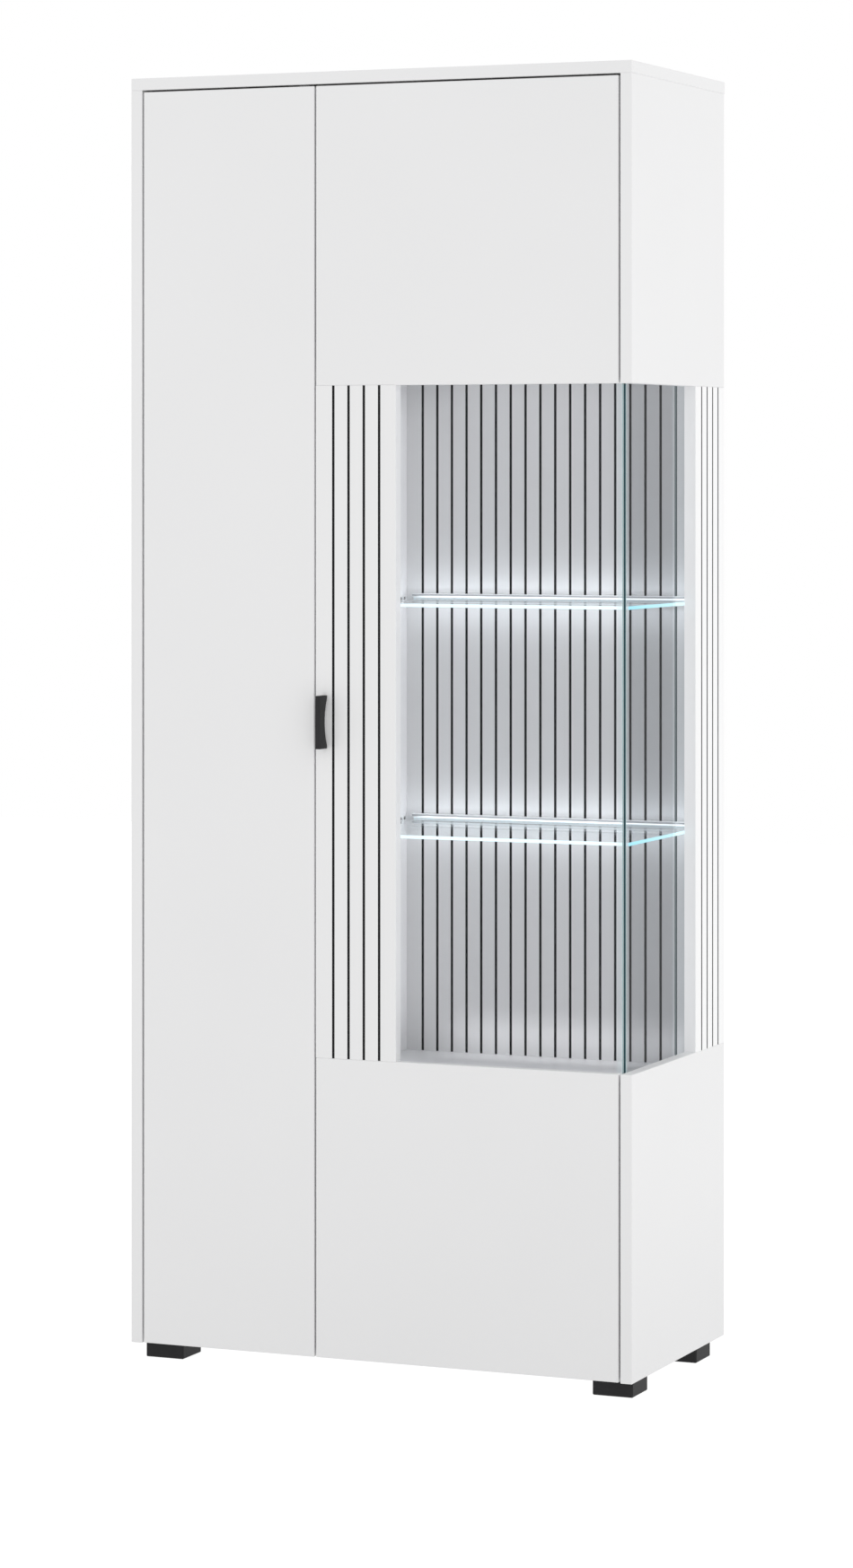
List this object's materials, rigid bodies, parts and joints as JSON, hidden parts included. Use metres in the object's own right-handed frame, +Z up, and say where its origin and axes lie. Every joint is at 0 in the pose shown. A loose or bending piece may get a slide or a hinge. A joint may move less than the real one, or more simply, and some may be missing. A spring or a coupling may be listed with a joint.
{
  "type": "china cabinet with glass doors",
  "caption": "Tall white display cabinet with a plain left door, a right door and right side with a lit glass window, slatted strips and black feet.",
  "frame": {"origin": "on the floor, under the middle of the whole cabinet's box, handle included", "axes": "+Z up, +X to the right seen from the front, +Y into the cabinet; the doors face -Y"},
  "size_m": [0.8, 0.429, 1.921],
  "materials": {
    "white_laminate": "satin white laminate on board",
    "groove_black": "matt black inlay",
    "window_glass": "clear toughened glass, green edges",
    "shelf_glass": "clear toughened glass, lit from its back edge",
    "back_board": "hardboard, white inside and raw brown outside",
    "clear_plastic": "clear soft plastic",
    "pin_steel": "nickel-plated",
    "light_aluminium": "anodised",
    "light_diffuser": "lit opal diffuser",
    "black_plastic": "matt moulded",
    "cam_zinc": "die-cast zinc",
    "screw_steel": "zinc-plated",
    "dowel_beech": "plain beech",
    "hinge_nickel": "nickel-plated pressed steel",
    "handle_black": "matt black powder coat"
  },
  "bodies": {
    "carcass": {"top_panel": "white_laminate", "bottom_panel": "white_laminate", "left_side_panel": "white_laminate", "right_side_lower_panel": "white_laminate", "right_side_upper_panel": "white_laminate", "right_side_slatted_strip": "white_laminate", "side_strip_inlays": "groove_black", "side_glass": "window_glass", "side_glass_clips": "clear_plastic", "side_glass_clip_screws": "screw_steel", "divider_panel": "white_laminate", "display_floor_board": "white_laminate", "display_ceiling_board": "white_laminate", "display_back_panel": "white_laminate", "back_panel_inlays": "groove_black", "closet_back_sheet": "back_board", "display_back_sheet": "back_board", "closet_fixed_shelf": "white_laminate", "closet_loose_shelves": "white_laminate", "upper_loose_shelf": "white_laminate", "loose_shelf_pins": "pin_steel", "lower_glass_shelf": "shelf_glass", "upper_glass_shelf": "shelf_glass", "glass_shelf_supports": "pin_steel", "light_bar_channels": "light_aluminium", "light_bar_diffusers": "light_diffuser", "light_lead_grommets": "black_plastic", "cam_locks": "cam_zinc", "cam_bolts": "screw_steel", "board_dowels": "dowel_beech", "feet": "black_plastic", "foot_screws": "screw_steel", "left_hinge_plates": "hinge_nickel", "left_hinge_arms": "hinge_nickel", "right_hinge_plates": "hinge_nickel", "right_hinge_arms": "hinge_nickel", "hinge_plate_screws": "screw_steel"},
    "left_door": {"left_door_panel": "white_laminate", "left_hinge_cups": "hinge_nickel", "left_cup_screws": "screw_steel", "left_door_stops": "clear_plastic"},
    "right_door": {"right_door_lower_panel": "white_laminate", "right_door_upper_panel": "white_laminate", "right_door_slatted_strip": "white_laminate", "door_strip_inlays": "groove_black", "door_strip_dowels": "dowel_beech", "door_glass": "window_glass", "door_glass_clips": "clear_plastic", "door_glass_clip_screws": "screw_steel", "right_hinge_cups": "hinge_nickel", "right_cup_screws": "screw_steel", "right_door_stops": "clear_plastic", "handle": "handle_black", "handle_screws": "screw_steel"}
  },
  "joints": [
    {"name": "left_door_hinge", "type": "hinge", "parent": "carcass", "child": "left_door", "pos_m": [-0.375, -0.1845, 0.96], "axis": [0, 0, -1], "range_deg": [0, 110]},
    {"name": "right_door_hinge", "type": "hinge", "parent": "carcass", "child": "right_door", "pos_m": [0.375, -0.1845, 0.96], "axis": [0, 0, 1], "range_deg": [0, 110]}
  ]
}
